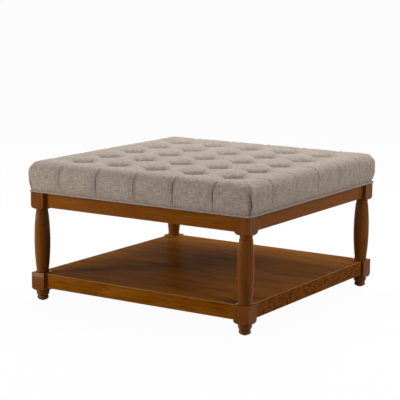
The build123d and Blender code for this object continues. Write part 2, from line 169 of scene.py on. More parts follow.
def stainedBirch(name, grain, place, tone, roughness, specular, contrast=0.5, coat=0.0, paintedEdgeLight=False):
    material, tree, principled = newMaterial(
        name, wood["middle"], roughness, Specular_IOR_Level=specular, Coat_Weight=coat,
        Coat_Roughness=0.1, Coat_IOR=1.4)
    coords = addNode(tree, "ShaderNodeTexCoord")
    moved = addNode(tree, "ShaderNodeVectorMath", {0: coords.outputs["Object"], 1: place}, operation="ADD")
    xyz = addNode(tree, "ShaderNodeSeparateXYZ", {0: moved.outputs[0]})
    order = {"x": "YZX", "y": "XZY", "z": "XYZ"}[grain]
    across, deep, along = [xyz.outputs[axis] for axis in order]
    solid = addNode(tree, "ShaderNodeCombineXYZ", {"X": across, "Y": deep, "Z": along})

    # one noise drawn out along the grain for each scale of figure
    figure = {}
    for part, width, length, detail, distortion in (
            ("streaks", wood["streakWidth"], wood["streakLength"], 4.0, 0.0),
            ("pores", wood["poreWidth"], wood["poreLength"], 2.0, 0.0),
            ("blotches", wood["blotchWidth"], wood["blotchLength"], 3.0, 0.4)):
        scaled = addNode(tree, "ShaderNodeVectorMath", {
            0: solid.outputs[0], 1: (1000 / width, 1000 / width, 1000 / length)}, operation="MULTIPLY")
        noise = addNode(tree, "ShaderNodeTexNoise", {
            "Vector": scaled.outputs[0], "Scale": 1.0, "Detail": detail, "Roughness": 0.6,
            "Distortion": distortion})
        figure[part] = noise.outputs["Fac"]

    # growth rings round a heart outside the piece: long cathedral shapes on faces, arcs on ends
    leaning = addNode(tree, "ShaderNodeVectorMath", {
        0: solid.outputs[0], 1: (1.0, 1.0, wood["ringLean"])}, operation="MULTIPLY")
    fromHeart = addNode(tree, "ShaderNodeVectorMath", {
        0: leaning.outputs[0], 1: (*wood["heart"], 0.0)}, operation="ADD")
    reach = addNode(tree, "ShaderNodeVectorMath", {0: fromHeart.outputs[0]}, operation="LENGTH")
    wobble = addNode(tree, "ShaderNodeMath", {
        0: figure["blotches"], 1: wood["ringWobble"], 2: reach.outputs["Value"]}, operation="MULTIPLY_ADD")
    turns = addNode(tree, "ShaderNodeMath", {
        0: wobble.outputs[0], 1: 2000 * math.pi / wood["ringSpacing"]}, operation="MULTIPLY")
    rings = addNode(tree, "ShaderNodeMath", {0: turns.outputs[0]}, operation="SINE")

    # depth of stain: the patterns swing about a middle tone, blotches most, then streaks, pores and rings
    halfShares = (wood["blotchShare"] + wood["streakShare"] + wood["poreShare"]) / 2
    depth = addNode(tree, "ShaderNodeMath", {
        0: figure["blotches"], 1: wood["blotchShare"] * contrast,
        2: wood["midTone"] + tone - halfShares * contrast}, operation="MULTIPLY_ADD")
    for pattern, share in ((figure["streaks"], wood["streakShare"]), (rings.outputs[0], wood["ringShare"]),
                           (figure["pores"], wood["poreShare"])):
        depth = addNode(tree, "ShaderNodeMath", {
            0: pattern, 1: share * contrast, 2: depth.outputs[0]}, operation="MULTIPLY_ADD")
    stain = addNode(tree, "ShaderNodeValToRGB", {"Fac": depth.outputs[0]}, stops=[
        (0.1, wood["dark"]), (0.42, wood["middle"]), (0.85, wood["light"])])

    # sawn ends drink the stain in dark spots
    geometry = addNode(tree, "ShaderNodeNewGeometry")
    facing = addNode(tree, "ShaderNodeSeparateXYZ", {0: geometry.outputs["Normal"]})
    endwise = addNode(tree, "ShaderNodeMath", {0: facing.outputs[grain.upper()]}, operation="ABSOLUTE")
    endMask = addNode(tree, "ShaderNodeMapRange", {
        "Value": endwise.outputs[0], "From Min": 0.8, "From Max": 0.95})
    mottle = addNode(tree, "ShaderNodeTexNoise", {
        "Vector": solid.outputs[0], "Scale": 1000 / wood["endMottle"], "Detail": 3.0, "Roughness": 0.55})
    endStain = addNode(tree, "ShaderNodeValToRGB", {"Fac": mottle.outputs["Fac"]}, stops=[
        (0.36, wood["endDark"]), (0.56, wood["endLight"])])
    colour = addNode(tree, "ShaderNodeMix", {
        "Factor": endMask.outputs[0], 6: stain.outputs["Color"], 7: endStain.outputs["Color"]},
        data_type="RGBA")
    if paintedEdgeLight:
        # painted highlight: the eased edges, which slope at 45 degrees, are painted paler as if they caught the
        # light
        upward = addNode(tree, "ShaderNodeMath", {0: facing.outputs["Z"]}, operation="ABSOLUTE")
        slope = addNode(tree, "ShaderNodeMath", {0: upward.outputs[0], 1: 0.707, 2: 0.2}, operation="COMPARE")
        share = addNode(tree, "ShaderNodeMath", {0: slope.outputs[0], 1: 0.8}, operation="MULTIPLY")
        colour = addNode(tree, "ShaderNodeMix", {
            "Factor": share.outputs[0], 6: colour.outputs[2], 7: linear(wood["paintedEdgeLight"])}, data_type="RGBA")
    tree.links.new(colour.outputs[2], principled.inputs["Base Color"])

    # the lacquer is duller along the streaks, which also stand up very slightly
    lacquer = addNode(tree, "ShaderNodeMapRange", {
        "Value": figure["streaks"], "From Min": 0.3, "From Max": 0.7,
        "To Min": roughness - 0.05, "To Max": roughness + 0.08})
    tree.links.new(lacquer.outputs[0], principled.inputs["Roughness"])
    relief = addNode(tree, "ShaderNodeBump", {
        "Strength": 0.12, "Distance": 0.0006, "Height": figure["streaks"]})
    tree.links.new(relief.outputs[0], principled.inputs["Normal"])
    return material


# Linen-look upholstery cloth, woven plain from slubby yarn: matt greige, crossed threads lighter and darker,
# a faint bloom at grazing angles.
linen = {
    "threadPitch": 2.7,      # mm; real threads are 0.7 mm, drawn this coarse so that they show
    "gridPitch": 6.2,        # mm, the squares that the eye makes of thick and thin threads
    "slubLength": 26,        # mm
    "shadeWidth": 60,        # mm, cloudiness of the dye
    "squareShare": 0.05,     # how much of the pattern the squares and the clouds carry
    "cloudShare": 0.1,
    "light": "b6aaa0",
    "middle": "a2968d",
    "dark": "8a7d73",
    "bloom": "e8ddd0",       # tint of the fibres' sheen
}


def linenWeave(name, pitch=None, turned=0.0, coordinates="UV"):
    pitch = pitch or linen["threadPitch"]
    material, tree, principled = newMaterial(
        name, linen["middle"], 0.92, Specular_IOR_Level=0.2, Sheen_Weight=0.15, Sheen_Roughness=0.5,
        Sheen_Tint=linear(linen["bloom"]))
    coords = addNode(tree, "ShaderNodeTexCoord")
    cloth = addNode(tree, "ShaderNodeMapping", {
        "Vector": coords.outputs[coordinates], "Rotation": (0, 0, turned)})
    # warp and weft: the same slubby noise drawn out both ways
    yarns = []
    fine, drawnOut = 1000 / pitch, 1000 / linen["slubLength"]
    for scale in ((fine, drawnOut, 1), (drawnOut, fine, 1)):
        way = addNode(tree, "ShaderNodeVectorMath", {0: cloth.outputs[0], 1: scale}, operation="MULTIPLY")
        yarns.append(addNode(tree, "ShaderNodeTexNoise", {
            "Vector": way.outputs[0], "Scale": 1.0, "Detail": 2.0, "Roughness": 0.65}).outputs["Fac"])
    clouds = addNode(tree, "ShaderNodeTexNoise", {
        "Vector": cloth.outputs[0], "Scale": 1000 / linen["shadeWidth"], "Detail": 2.0})
    turn = 2000 * math.pi / linen["gridPitch"]
    squares = addNode(tree, "ShaderNodeVectorMath", {
        0: cloth.outputs[0], 1: (turn, turn, 0)}, operation="MULTIPLY")
    waves = addNode(tree, "ShaderNodeVectorMath", {0: squares.outputs[0]}, operation="SINE")
    sides = addNode(tree, "ShaderNodeSeparateXYZ", {0: waves.outputs[0]})
    for number, axis in enumerate("XY"):
        yarns[number] = addNode(tree, "ShaderNodeMath", {
            0: sides.outputs[axis], 1: linen["squareShare"], 2: yarns[number]},
            operation="MULTIPLY_ADD").outputs[0]
    both = addNode(tree, "ShaderNodeMath", {0: yarns[0], 1: yarns[1]}, operation="ADD")
    mean = addNode(tree, "ShaderNodeMath", {0: both.outputs[0], 1: 0.5}, operation="MULTIPLY")
    shade = addNode(tree, "ShaderNodeMath", {
        0: clouds.outputs["Fac"], 1: linen["cloudShare"], 2: mean.outputs[0]}, operation="MULTIPLY_ADD")
    threads = addNode(tree, "ShaderNodeValToRGB", {"Fac": shade.outputs[0]}, stops=[
        (0.44, linen["dark"]), (0.56, linen["middle"]), (0.68, linen["light"])])
    tree.links.new(threads.outputs["Color"], principled.inputs["Base Color"])
    relief = addNode(tree, "ShaderNodeBump", {
        "Strength": 0.35, "Distance": 0.001, "Height": mean.outputs[0]})
    tree.links.new(relief.outputs[0], principled.inputs["Normal"])
    return material


def zincPlatedSteel(name):
    # bright zinc: cool grey with a faint mottle of crystals 5 to 6 mm across
    material, tree, principled = newMaterial(name, "b4b7b9", 0.38, Metallic=1.0)
    coords = addNode(tree, "ShaderNodeTexCoord")
    mottle = addNode(tree, "ShaderNodeTexVoronoi", {"Vector": coords.outputs["Object"], "Scale": 180.0})
    tones = addNode(tree, "ShaderNodeValToRGB", {"Fac": mottle.outputs["Distance"]}, stops=[
        (0.0, "a2a6a9"), (1.0, "c6c8c8")])
    tree.links.new(tones.outputs["Color"], principled.inputs["Base Color"])
    return material


def planedTimber(name, pale, dark, ringWidth):
    # raw timber: pale, dry and matt; its soft figure is drawn four times as wide as its rings, to show
    material, tree, principled = newMaterial(name, pale, 0.75)
    coords = addNode(tree, "ShaderNodeTexCoord")
    waves = addNode(tree, "ShaderNodeTexNoise", {
        "Vector": coords.outputs["Object"], "Scale": 250 / ringWidth, "Detail": 4.0, "Distortion": 0.6})
    tones = addNode(tree, "ShaderNodeValToRGB", {"Fac": waves.outputs["Fac"]}, stops=[
        (0.35, dark), (0.65, pale)])
    tree.links.new(tones.outputs["Color"], principled.inputs["Base Color"])
    return material


def fineSkin(name, colour, roughness, grain):
    # moulded, cut or pressed stuff with a fine even skin
    material, tree, principled = newMaterial(name, colour, roughness)
    coords = addNode(tree, "ShaderNodeTexCoord")
    skin = addNode(tree, "ShaderNodeTexNoise", {
        "Vector": coords.outputs["Object"], "Scale": 1000 / grain, "Detail": 2.0})
    relief = addNode(tree, "ShaderNodeBump", {
        "Strength": 0.4, "Distance": 0.0005, "Height": skin.outputs["Fac"]})
    tree.links.new(relief.outputs[0], principled.inputs["Normal"])
    return material


print("materials")
steel = zincPlatedSteel("bright zinc plated steel")
pine = planedTimber("planed pine", "d0b07c", "b48f5c", 3.0)
birchPly = planedTimber("birch plywood", "cfae7c", "b8925e", 6.0)
foam = fineSkin("cut polyurethane foam", "e6dcc0", 0.95, 2.0)            # dull cream, open cells
dustCloth = fineSkin("black non-woven dust cloth", "1d1d1e", 0.9, 1.2)   # flat black, felted
waxedTwine = fineSkin("waxed tufting twine", "cfc6b4", 0.7, 0.8)         # pale, slightly waxy
glidePlastic = fineSkin("matt black ABS", "1c1c1c", 0.5, 0.6)            # moulded with a fine grain
seatLinen = linenWeave("slubby linen weave")
pipingLinen = linenWeave("linen weave cut on the bias", pitch=1.8, turned=math.radians(45))
buttonLinen = linenWeave("linen weave over buttons", pitch=1.6, coordinates="Object")

# Legs: one post each, square where it is joined and turned between.
leg = {
    "axis": 399.4,           # mm from the middle of the table, both ways
    "half": 27.0,
    "arris": 1.5,
    "shoulder": 12.0,
    "sole": (12.0, 2.5),     # (radius, height) of each place on the turning
    "lowerBead": (19.4, 10.2),
    "groove": (16.8, 16.5),
    "upperBead": (22.3, 28.8),
    "footNeck": (20.0, 37.0),
    "lowerBlockTop": 98.0,
    "ring": (22.3, 101.5),
    "lowerCollar": (21.0, 113.5),
    "bellyEnd": 21.6,
    "belly": (27.0, 203.5),
    "upperCollar": (20.6, 301.0),
    "neck": 19.9,
    "upperBlockFoot": 316.5,
    "top": 373.0,
    "flat": 29.7,            # from the axis to the flat on the inner corner
    "sideSteps": 21,         # mesh lines up each face of a block
    "arrisTurns": (22.5, 45.0, 67.5),  # and round each arris, in degrees
    "blockEase": (1.6, 0.5),  # bevels that ease each edge: its reach, and how far its middle is cut
    "ringEase": (0.8, 0.7),   # and (inwards, upwards) on the round parts
    "ringTopEase": 1.0,
    "collarEase": (0.1, 0.5),
    "collarTopEase": (0.4, 0.3),
    "neckEase": (0.5, 0.8),
    "topEase": 0.8,
}


def shoulderRows(foot, neck, steps=14):
    # the lower corners of a block are turned to a quarter round
    half, shoulder = leg["half"], leg["shoulder"]
    inner = half * math.sqrt(2) - shoulder
    rows = [(foot, neck, half), (foot, inner, half)]
    for i in range(1, steps + 1):
        a = i / steps * math.pi / 2
        rows.append((foot + shoulder * (1 - math.cos(a)), inner + shoulder * math.sin(a), half))
    return rows


def legRows():
    # (height, turned radius, half width of the square) from the sole up; wide is outside any square
    wide, half = 60.0, leg["half"]
    blockTop, top = leg["lowerBlockTop"], leg["top"]
    ringRadius, ringTop = leg["ring"]
    collarRadius, collarTop = leg["lowerCollar"]
    neckRadius, bellyTop = leg["upperCollar"]
    foot = arc(leg["sole"], leg["lowerBead"], leg["groove"], 12)
    foot += arc(leg["groove"], leg["upperBead"], leg["footNeck"], 16)[1:]
    belly = arc((leg["bellyEnd"], collarTop), leg["belly"], (leg["bellyEnd"], bellyTop), 40)
    rows = [(leg["sole"][1], 0.0, half)]
    rows += [(z, r, half) for r, z in foot]
    rows += shoulderRows(leg["footNeck"][1], leg["footNeck"][0])
    ease, middle = leg["blockEase"]
    rows += [(blockTop - ease, wide, half), (blockTop - middle, wide, half - middle),
             (blockTop, wide, half - ease)]
    ease, rise = leg["ringEase"]
    rows += [(blockTop, ringRadius - ease, half), (blockTop + rise, ringRadius, half)]
    ease = leg["ringTopEase"]
    rows += [(ringTop - ease, ringRadius, half), (ringTop, ringRadius - ease, half)]
    ease, rise = leg["collarEase"]
    rows += [(ringTop, collarRadius + ease, half), (ringTop + rise, collarRadius, half)]
    ease, rise = leg["collarTopEase"]
    rows += [(collarTop - rise, collarRadius, half), (collarTop, collarRadius + ease, half)]
    rows += [(z, r, half) for r, z in belly]
    ease, rise = leg["neckEase"]
    rows += [(bellyTop, neckRadius - ease, half), (bellyTop + rise, neckRadius, half)]
    rows += shoulderRows(leg["upperBlockFoot"], leg["neck"])
    ease = leg["topEase"]
    rows += [(top - ease, wide, half), (top, wide, half - ease), (top, 0.0, half)]
    return rows


def squareReach(angle, size):
    # from the axis to the outline of a square with rounded arrises
    a = (angle + math.pi / 4) % (math.pi / 2) - math.pi / 4
    core = size - leg["arris"]
    if abs(size * math.tan(a)) <= core:
        return size / math.cos(a)
    b = core * (math.cos(a) + abs(math.sin(a)))
    return b + math.sqrt(max(0.0, b * b - 2 * core * core + leg["arris"] ** 2))


def turnedLeg(corner):
    sx, sy = corners[corner]
    half, arris = leg["half"], leg["arris"]
    # directions round the leg, denser at the arrises so that each block keeps its edges
    side = [math.atan2(t, half) for t in np.linspace(-(half - arris), half - arris, leg["sideSteps"])]
    nook = [math.atan2(half - arris + arris * math.sin(a), half - arris + arris * math.cos(a))
            for a in np.radians(leg["arrisTurns"])]
    angles = [quarter * math.pi / 2 + a for quarter in range(4) for a in side + nook]
    inward = math.atan2(-sy, -sx)
    points, faces = [], []
    for z, turnedRadius, size in legRows():
        for angle in angles:
            r = min(turnedRadius, squareReach(angle, size))
            facing = math.cos(angle - inward)
            if facing > 0.5:
                r = min(r, leg["flat"] / facing)
            points.append((sx * leg["axis"] + r * math.cos(angle), sy * leg["axis"] + r * math.sin(angle), z))
    around = len(angles)
    for a in range(0, len(points) - around, around):
        for i in range(around):
            j = (i + 1) % around
            faces.append((a + i, a + j, a + around + j, a + around + i))
    # each leg is cut from another place in the wood
    shift = (sx * 0.3, sy * 0.7, 0.2 * sx * sy)
    material = stainedBirch(f"stained birch, leg {corner}", "z", shift, **wood["legs"])
    piece = meshObject("turned_leg_" + corner, np.array(points) * mm, faces, material, smoothAngle=32)
    # the first and last rows close on the axis, so their doubled points are welded
    weld = piece.modifiers.new("weld", "WELD")
    weld.merge_threshold = 0.02 * mm
    keepModifiers(piece)
    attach(piece, "root")
    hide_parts("leg_" + corner)


print("legs")
for corner in corners:
    turnedLeg(corner)

# Aprons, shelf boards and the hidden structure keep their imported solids. Boards are told apart by their tone.
print("aprons, shelf and fittings")
apronShift = (0.4, 0.1, 0.3)
for side, grain in (("front", "x"), ("right", "y"), ("back", "x"), ("left", "y")):
    dress("apron_" + side, stainedBirch(f"stained birch, {side} apron", grain, apronShift, **wood["aprons"]))
    dress("seat_cleat_" + side, pine)
for number, tone in enumerate(wood["boardTones"], 1):
    shift = (0.37 * number, 0.05 * number, 0.11 * number)
    board = stainedBirch(f"stained birch, board {number}", "x", shift, tone, **wood["boards"])
    dress(f"shelf_board_{number}", board)
for corner in corners:
    dress("corner_plate_" + corner, steel)
    dress("glide_" + corner, glidePlastic)
for name in ("upper_hanger_bolts", "upper_washers", "upper_nuts", "shelf_hanger_bolts", "shelf_half_moons",
             "shelf_nuts", "seat_screws"):
    dress(name, steel)
for name, material in (("seat_deck", birchPly), ("foam_slab", foam), ("dust_cover", dustCloth),
                       ("tuft_twines", waxedTwine)):
    dress(name, material)

# Cushion: pillows between 25 deep tufts, scalloped sides with a folded pleat from each border tuft.
cushion = {
    "half": 437.0,           # mm, at the widest of its sides
    "seam": 379.1,           # height of the seam above the piping
    "crest": 480.5,
    "crownDrop": 2.0,
    "edgeOut": 30.0,         # rounding of the top edge, seen from above
    "edgeDown": 34.0,        # and seen from the side
    "cornerOut": 17.0,       # rounding of the upright corners
    "tufts": (-298.0, -149.0, 0.0, 149.0, 298.0),
    "dish": 25.0,            # depth and reach of the round dish at a tuft
    "dishReach": 92.0,
    "pitDepth": 24.0,        # and of the steep pit in its middle
    "pitReach": 45.0,
    "pitPoint": 10.0,        # how much further they reach out along the folds
    "pitFloor": 10.5,
    "dishPowers": (1.9, 0.55),  # how softly the dish leaves the pillow, and how steeply it ends
    "valley": 3.5,           # how far the folds between tufts lie below the pillows
    "roll": 58.0,            # from a fold to where its pillow is full
    "rollPower": 2.2,
    "sidePleat": 3.5,        # how far the sides dip between the pillows
    "sidePleatHeight": 30.0,  # above the seam, from where it is whole
    "sidePleatFoot": 0.3,    # share of it that is left at the seam
    "pleatLean": 6.0,        # sideways, where a front or back pleat comes over the edge
    "leanDown": 50.0,        # it is gone this far below the edge
    "leanWidth": 30.0,
    "drawIn": 8.0,           # how far the side pulls in to the seam
    "drawInHeight": 34.0,    # and over what height
    "pinch": 0.45,           # share of it that is added close to the seam
    "pinchHeight": 4.0,
    "buttonSeat": 449.3,
    "footHalf": 426.2,
    "footCorner": 7.0,
    "foot": 373.0,
    "hemEdge": 392.3,
    "deckUnder": 374.4,
    "hemBand": 5.0,          # cloth to each turn of the hem
    "startIn": 2.5,          # the form starts this much smaller, and the pressure fills it
    "cap": 8.0,              # the most a point may move while it fills
    "frames": 20,
    "pressure": 4.0,
}

# How fine the cover's mesh is: spacings in mm and counts of lines.
fineness = {
    "pairHalf": 1.2,         # half the gap of the close pair of lines on a row of tufts
    "between": 25,           # lines from one row of tufts to the next
    "crowding": 0.35,        # how strongly they gather beside the tufts
    "edgeRun": 26.0,         # the last stretch before the upright edges, which has denser lines for the darts
    "border": 18,            # lines out to that stretch, in it, and down the side
    "edge": 12,
    "side": 19,
}

# Folds pressed in after the cushion is filled, in mm.
folds = {
    "crease": 3.0,           # depth of the crease along the folds between tufts
    "creaseWidth": 2.6,
    "creaseReach": 45.0,     # how far from a tuft it stays deep
    "creaseShut": 0.35,      # share of the depth that is left half way between tufts
    "pleat": 4.8,            # step of the knife pleats on the front and back
    "pleatStart": 25.0,      # outside the last tufts
    "pleatFade": (60.0, 40.0),  # from here down the side, and over this, half of it goes
    "pleatShape": ((-1.0, -1.0, 1.9), (-0.3, -8.0, 7.0), (0.38, 4.5, 3.5)),  # (share, place, width)
    "sideShare": 0.4,        # of that on the left and right, where the cloth is pulled softer
    "dart": 6.5,             # folded corner
    "dartShape": ((0.35, 6.0, 4.0), (-1.0, 0.0, 2.0)),
    "dartStart": 24.0,       # how far below the top edge it opens
    "dartPlace": -5.0,       # beside the edge, and how far it sways across it
    "dartSway": 13.0,
    "dartTurn": 2.4,         # radians of that sway from top to foot
    "pucker": 0.25,
    "puckers": 9,
    "puckerPlace": 25.0,     # from the tuft
    "puckerWidth": 11.0,
    "sag": 0.9,              # soft upright waves of the side panels, about 40 and 95 mm long
    "edgeFade": 60.0,        # over which folds of the top give way to folds of the sides
}


def smooth(t):
    t = np.clip(t, 0.0, 1.0)
    return t * t * (3 - 2 * t)


def nearestTuft(v):
    pitch = cushion["tufts"][-1] / 2
    return np.clip(np.round(v / pitch), -2, 2) * pitch


def pillowRise(v):
    # 0 on a row of tufts, 1 where the pillow is full
    away = np.abs(v - nearestTuft(v))
    return 1 - (1 - np.clip(away / cushion["roll"], 0, 1)) ** cushion["rollPower"]


def ridges(t, shape):
    # the sum of soft ridges and furrows, each given as (share, place, width)
    return sum(share * np.exp(-((t - place) / width) ** 2) for share, place, width in shape)


def latticeLines():
    # places of the mesh lines along one axis: a close pair marks each row of tufts, and the rest crowd to it
    lines = []
    pair = fineness["pairHalf"]
    for tuft in cushion["tufts"]:
        lines += [tuft - pair, tuft + pair]
    t = np.linspace(0, 1, fineness["between"])[1:-1]
    crowded = t - fineness["crowding"] * np.sin(2 * math.pi * t) / (2 * math.pi)
    for low, high in zip(cushion["tufts"], cushion["tufts"][1:]):
        lines += list(low + pair + (high - low - 2 * pair) * crowded)
    border = cushion["half"] - fineness["edgeRun"]
    outer = list(np.linspace(cushion["tufts"][-1] + pair, border, fineness["border"])[1:])
    outer = np.array(outer + list(np.linspace(border, cushion["half"], fineness["edge"])[1:]))
    lines += list(outer) + list(-outer)
    return np.array(sorted(lines))


def boxedLattice():
    # the cover as flat cloth: a square top with four flaps, as (x, y, distance down the flap)
    lines = latticeLines()
    count = len(lines)
    last = count - 1
    drops = np.linspace(0, cushion["crest"] - cushion["seam"], fineness["side"])[1:]
    x, y = np.meshgrid(lines, lines, indexing="ij")
    places = [np.column_stack([x.ravel(), y.ravel(), np.zeros(x.size)])]
    index = np.arange(x.size).reshape(count, count)
    loop = ([(i, 0) for i in range(last)] + [(last, j) for j in range(last)]
            + [(i, last) for i in range(last, 0, -1)] + [(0, j) for j in range(last, 0, -1)])
    rim = np.array([(lines[i], lines[j]) for i, j in loop])
    outward = np.array([(0, -1)] * last + [(1, 0)] * last + [(0, 1)] * last + [(-1, 0)] * last)
    rings = [np.array([index[i, j] for i, j in loop])]
    total = x.size
    for drop in drops:
        places.append(np.column_stack([rim, np.full(len(loop), drop)]))
        rings.append(np.arange(total, total + len(loop)))
        total += len(loop)
    faces, uvs = [], []
    for i in range(last):
        for j in range(last):
            faces.append((index[i, j], index[i + 1, j], index[i + 1, j + 1], index[i, j + 1]))
            uvs.append([(lines[i], lines[j]), (lines[i + 1], lines[j]), (lines[i + 1], lines[j + 1]),
                        (lines[i], lines[j + 1])])
    depths = np.concatenate([[0], drops])
    for k in range(len(drops)):
        for s in range(len(loop)):
            t = (s + 1) % len(loop)
            faces.append((rings[k][s], rings[k + 1][s], rings[k + 1][t], rings[k][t]))
            uvs.append([tuple(rim[who] + outward[s] * depth) for who, depth in (
                (s, depths[k]), (s, depths[k + 1]), (t, depths[k + 1]), (t, depths[k]))])
    return np.vstack(places), faces, uvs, rings, rim


def roundedBox(lattice):
    # the lattice over a box with rounded edges: each point takes the rounding's reach from the box's core
    x, y, w = lattice.T
    half = cushion["half"]
    top = cushion["crest"] - cushion["crownDrop"] * ((x / half) ** 2 + (y / half) ** 2) / 2
    z = top - w
    out = cushion["edgeOut"] + (cushion["cornerOut"] - cushion["edgeOut"]) * smooth(w / cushion["edgeDown"])
    core = np.column_stack([np.clip(x, out - half, half - out), np.clip(y, out - half, half - out),
                            np.minimum(z, top - cushion["edgeDown"])])
    reach = np.column_stack([out, out, np.full(len(x), cushion["edgeDown"])])
    direction = (np.column_stack([x, y, z]) - core) / reach
    length = np.linalg.norm(direction, axis=1, keepdims=True)
    direction = np.where(length > 0, direction / np.maximum(length, 1e-9), (0, 0, 1))
    normal = direction / reach
    normal /= np.linalg.norm(normal, axis=1, keepdims=True)
    return core + direction * reach, normal


offCover = 999.0             # marks the hem's points, which take no folds


def shapedCushion():
    lattice, faces, uvs, rings, rim = boxedLattice()
    x, y, w = lattice.T
    points, normal = roundedBox(lattice)

    # pillows rise from the folds, and a round dish with a steep pit in it drops to each tuft
    riseX, riseY = pillowRise(x), pillowRise(y)
    up = np.clip(normal[:, 2], 0, 1)
    fromTuft = np.hypot(x - nearestTuft(x), y - nearestTuft(y))
    alongFold = np.abs(np.cos(2 * np.arctan2(y - nearestTuft(y), x - nearestTuft(x))))
    point = cushion["pitPoint"] * alongFold ** 6
    dish, pit = [np.clip((reach + point - fromTuft) / (reach + point - cushion["pitFloor"]), 0, 1)
                 for reach in (cushion["dishReach"], cushion["pitReach"])]
    leave, end = cushion["dishPowers"]
    funnel = cushion["dish"] * (1 - (1 - dish ** leave) ** end) + cushion["pitDepth"] * smooth(pit)
    valley = cushion["valley"] * (1 - riseX * riseY)
    high = smooth((points[:, 2] - cushion["seam"]) / cushion["sidePleatHeight"])
    sideRise = np.where(np.abs(y) > np.abs(x), riseX, riseY)
    foot = cushion["sidePleatFoot"]
    scallop = cushion["sidePleat"] * (1 - sideRise) * (foot + (1 - foot) * high)
    full = np.minimum(riseX, riseY)
    sink = up ** 1.5 * (valley + funnel) + (1 - up) * scallop + cushion["startIn"] * full
    points -= normal * sink[:, None]
    points[:, 2] = np.where(w == 0, np.maximum(points[:, 2], cushion["buttonSeat"]), points[:, 2])
    # the pleats lean as they come over the edge
    last = cushion["tufts"][-1]
    onEdge = smooth((np.abs(y) - last) / (cushion["half"] - last))
    over = np.where(w > 0, 1 - smooth(w / cushion["leanDown"]), onEdge)
    beside = np.exp(-((x - nearestTuft(x)) / cushion["leanWidth"]) ** 2)
    points[:, 0] += cushion["pleatLean"] * over * beside * (np.abs(y) > np.abs(x))
    # the sides draw in to the seam
    outwards = np.column_stack([normal[:, 0], normal[:, 1], np.zeros(len(points))])
    above = points[:, 2] - cushion["seam"]
    low = 1 - smooth(above / cushion["drawInHeight"])
    low += cushion["pinch"] * np.exp(-(above / cushion["pinchHeight"]) ** 2)
    points -= outwards * (cushion["drawIn"] * low)[:, None]

    # held while it fills: the button seats, the folds and the seam
    seat = fromTuft < cushion["pitFloor"]
    points[seat, 2] = cushion["buttonSeat"]
    near = fineness["pairHalf"] + 0.1
    onFold = (np.abs(x - nearestTuft(x)) < near) | (np.abs(y - nearestTuft(y)) < near)
    held = seat | onFold
    held[rings[-1]] = True

    # underside: a hem round the foot, open to the deck
    previous = rings[-1]
    points = list(points)
    for reach, height in ((cushion["footHalf"], cushion["seam"]), (cushion["footHalf"], cushion["foot"]),
                          (cushion["hemEdge"], cushion["foot"]), (cushion["hemEdge"], cushion["deckUnder"])):
        ring = np.arange(len(points), len(points) + len(rim))
        place = rim / cushion["half"] * reach
        core = np.clip(place, cushion["footCorner"] - reach, reach - cushion["footCorner"])
        step = place - core
        size = np.linalg.norm(step, axis=1, keepdims=True)
        place = core + step * np.where(size > 0, cushion["footCorner"] / np.maximum(size, 1e-9), 0)
        points += [(px, py, height) for px, py in place]
        for s in range(len(rim)):
            t = (s + 1) % len(rim)
            faces.append((previous[s], ring[s], ring[t], previous[t]))
            start, end, lower = rim[s][0], rim[t][0], height - cushion["hemBand"]
            uvs.append([(start, height), (start, lower), (end, lower), (end, height)])
        previous = ring
    added = len(points) - len(lattice)
    held = np.concatenate([held, np.ones(added, bool)])
    lattice = np.vstack([lattice, np.full((added, 3), offCover)])
    return np.array(points) * mm, faces, np.array([p for uv in uvs for p in uv]) * mm, held, lattice


def fillCushion(piece, held, start):
    # pressure fills the pillows between the held folds, and the result is kept
    group = piece.vertex_groups.new(name="held")
    group.add([int(i) for i in np.nonzero(held)[0]], 1.0, "REPLACE")
    modifier = piece.modifiers.new("cloth", "CLOTH")
    settings = modifier.settings
    settings.quality = 5
    settings.mass = 0.3
    settings.tension_stiffness = settings.compression_stiffness = 15
    settings.shear_stiffness = 5
    settings.bending_stiffness = 0.6
    settings.use_pressure = True
    settings.uniform_pressure_force = cushion["pressure"]
    settings.vertex_group_mass = "held"
    settings.effector_weights.gravity = 0
    modifier.collision_settings.use_collision = False
    modifier.collision_settings.use_self_collision = False
    modifier.point_cache.frame_start = 1
    modifier.point_cache.frame_end = cushion["frames"]
    scene = bpy.context.scene
    for number in range(1, cushion["frames"] + 1):
        scene.frame_set(number)
    filled = piece.evaluated_get(bpy.context.evaluated_depsgraph_get())
    moved = vertexPlaces(filled.to_mesh())
    filled.to_mesh_clear()
    piece.modifiers.clear()
    scene.frame_set(1)
    shift = moved - start
    length = np.linalg.norm(shift, axis=1, keepdims=True)
    shift *= np.minimum(1.0, cushion["cap"] * mm / np.maximum(length, 1e-9))
    print("cushion filled, moves in mm: mean %.1f, largest %.1f" % (length.mean() / mm, length.max() / mm))
    return start + shift


